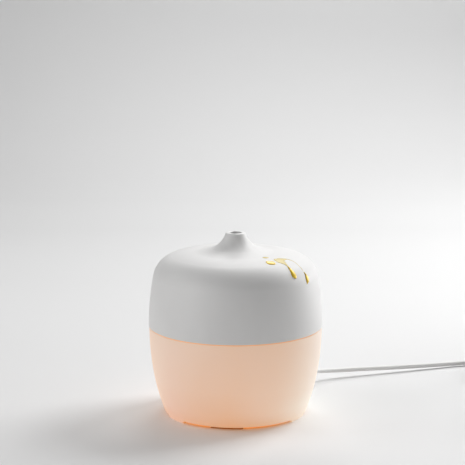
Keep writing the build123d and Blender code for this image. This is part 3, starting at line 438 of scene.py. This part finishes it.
def golden_oil(name, runs, material):
    """Oil that rides the cover, with every run laid on the cover's own surface."""
    cover = frame["nodes"]["outer_cover"].data
    surface = BVHTree.FromPolygons([vertex.co for vertex in cover.vertices],
                                   [tuple(polygon.vertices) for polygon in cover.polygons])
    vertices, faces = [], []
    for thickness, middle in runs:
        more_vertices, more_faces = oil_run(thickness, middle, surface)
        faces.extend(tuple(index + len(vertices) for index in face) for face in more_faces)
        vertices.extend(more_vertices)
    mesh = bpy.data.meshes.new(name)
    mesh.from_pydata(vertices, [], faces)
    oil = add_object(name, mesh, material)
    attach(oil, "cover")
    return oil


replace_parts(golden_oil("oil_drops", DROPS, MATERIALS["gilt"]), "gilt_drips")
golden_oil("oil_film", FILMS, MATERIALS["gilt_film"])

# ------------------------------------------------------------------ the power lead
CORD_DIAMETER = 0.0035
LEAD_ROUTE = [
    (34.0, 57.0, 13.0), (47.0, 57.0, 13.0), (60.0, 72.0, 8.8), (75.0, 83.0, 6.3), (95.0, 90.6, 5.3),
    (122.0, 99.6, 4.2), (152.0, 110.2, 3.1), (174.0, 118.2, 2.5), (187.5, 122.0, 2.4), (200.0, 122.0, 2.4),
]
TAIL_ROUTE = [
    (245.0, 76.0, 6.0), (245.0, 67.4, 6.0), (241.0, 59.4, 7.8), (233.4, 53.4, 10.6), (229.4, 45.6, 13.0),
    (229.4, 37.0, 13.0),
]
COIL_CENTRE = (215.0, 92.0)
COIL_TURNS = 9.25
COIL_PITCH = 3.6
COIL_LINE_RADIUS = 30.0
COIL_LOW, COIL_HIGH = 2.4, 6.0
COIL_POINTS_PER_TURN = 16
COIL_CLIMB = 0.35             # turns each side of the middle in which the lead climbs to the upper layer


def coil_points():
    """Spiral inwards on the floor, then outwards on top of it, clockwise from the back to the right."""
    count = round(COIL_TURNS * COIL_POINTS_PER_TURN)
    swell = 1 / math.cos(math.pi / COIL_POINTS_PER_TURN) ** 0.75
    points = []
    for step in range(1, count):
        turn = COIL_TURNS * step / count
        inwards = min(turn, COIL_TURNS - turn)
        radius = (COIL_LINE_RADIUS - COIL_PITCH * inwards) * swell
        climb = (turn - COIL_TURNS / 2) / COIL_CLIMB
        climb = min(1.0, max(0.0, (climb + 1) / 2))
        climb = climb * climb * (3 - 2 * climb)
        angle = math.pi / 2 - 2 * math.pi * turn
        points.append((COIL_CENTRE[0] + radius * math.cos(angle), COIL_CENTRE[1] + radius * math.sin(angle),
                       COIL_LOW + (COIL_HIGH - COIL_LOW) * climb))
    return points


def power_lead():
    points = LEAD_ROUTE + coil_points() + TAIL_ROUTE
    curve = bpy.data.curves.new("power_cord", "CURVE")
    curve.dimensions = "3D"
    curve.bevel_depth = CORD_DIAMETER / 2
    curve.bevel_resolution = 5
    curve.resolution_u = 8
    curve.use_fill_caps = True
    spline = curve.splines.new("NURBS")
    spline.points.add(len(points) - 1)
    for control, (x, y, z) in zip(spline.points, points):
        control.co = (x * MM, y * MM, z * MM, 1.0)
    spline.order_u = 3
    spline.use_endpoint_u = True
    cord = bpy.data.objects.new("power_cord", curve)
    bpy.context.scene.collection.objects.link(cord)
    curve.materials.append(MATERIALS["cord_white"])
    return cord


def ribbed_sleeve(name, node, start, way, length, near_radius, far_radius):
    """Tapered strain relief with grooves round it, from the housing out along the lead."""
    ribs, around, ribbed_share, groove = 6, 48, 0.94, 0.55
    profile = [(0.0, near_radius)]
    for rib in range(ribs):
        for share, depth in ((0.12, 0.0), (0.52, 0.0), (0.62, groove), (0.90, groove), (1.0, 0.0)):
            along = (rib + share) / ribs * ribbed_share
            profile.append((along, near_radius + (far_radius - near_radius) * along - depth))
    profile += [(0.985, far_radius), (1.0, far_radius - 0.25), (1.0, CORD_DIAMETER / MM / 2 - 0.1)]
    forward = Vector(way)
    right = forward.cross(Vector((0, 0, 1)))
    vertices = []
    for along, radius in profile:
        for tick in range(around):
            turn = 2 * math.pi * tick / around
            vertices.append((Vector(start) + forward * along * length
                             + (right * math.cos(turn) + Vector((0, 0, 1)) * math.sin(turn)) * radius) * MM)
    faces = []
    for ring in range(len(profile) - 1):
        for tick in range(around):
            following = (tick + 1) % around
            faces.append((ring * around + tick, ring * around + following,
                          (ring + 1) * around + following, (ring + 1) * around + tick))
    mesh = bpy.data.meshes.new(name)
    mesh.from_pydata(vertices, [], faces)
    sleeve = add_object(name, mesh, MATERIALS["plug_white"], smooth=False)
    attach(sleeve, "base")
    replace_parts(sleeve, node)
    return sleeve


def coil_tie():
    """Flat strap that holds the turns together, round the coil's section."""
    slack = 2.3
    inner = COIL_LINE_RADIUS - COIL_PITCH * COIL_TURNS / 2 - slack
    outer = COIL_LINE_RADIUS + slack
    low, high, corner, thick, half_width = 0.05, COIL_HIGH + 2.6, 2.2, 0.55, 4.0
    corners = ((outer - corner, low + corner, -90), (outer - corner, high - corner, 0),
               (inner + corner, high - corner, 90), (inner + corner, low + corner, 180))
    corner_steps = 8
    turn = math.radians(205)
    out = Vector((math.cos(turn), math.sin(turn), 0))
    side = Vector((-out.y, out.x, 0))
    loop = []
    for middle_r, middle_z, begin in corners:
        for step in range(corner_steps + 1):
            angle = math.radians(begin + 90 * step / corner_steps)
            loop.append((middle_r, middle_z, math.cos(angle), math.sin(angle)))
    centre = Vector((*COIL_CENTRE, 0))
    vertices = []
    for across in (-half_width, half_width):
        for reach in (corner, corner - thick):
            for r, z, c, s in loop:
                vertices.append((centre + out * (r + c * reach) + Vector((0, 0, z + s * reach))
                                 + side * across) * MM)
    count = len(loop)
    faces = []
    for first, second in ((0, 2), (3, 1), (1, 0), (2, 3)):
        for step in range(count):
            following = (step + 1) % count
            faces.append((first * count + step, first * count + following,
                          second * count + following, second * count + step))
    mesh = bpy.data.meshes.new("coil_tie")
    mesh.from_pydata(vertices, [], faces)
    tie = add_object("coil_tie", mesh, MATERIALS["tie_white"])
    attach(tie, "base")
    return tie


plug_relief = ribbed_sleeve("plug_relief", "plug_strain_relief", (20.0, 57.0, 13.0), (1, 0, 0),
                            14.0, 3.2, 2.2)
adapter_relief = ribbed_sleeve("adapter_relief", "adapter_strain_relief", (229.4, 23.0, 13.0), (0, 1, 0),
                               14.0, 3.2, 2.2)
tie = coil_tie()

cord = power_lead()
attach(cord, "base")
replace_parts(cord, "power_lead", "lead_coil", "lead_tail")
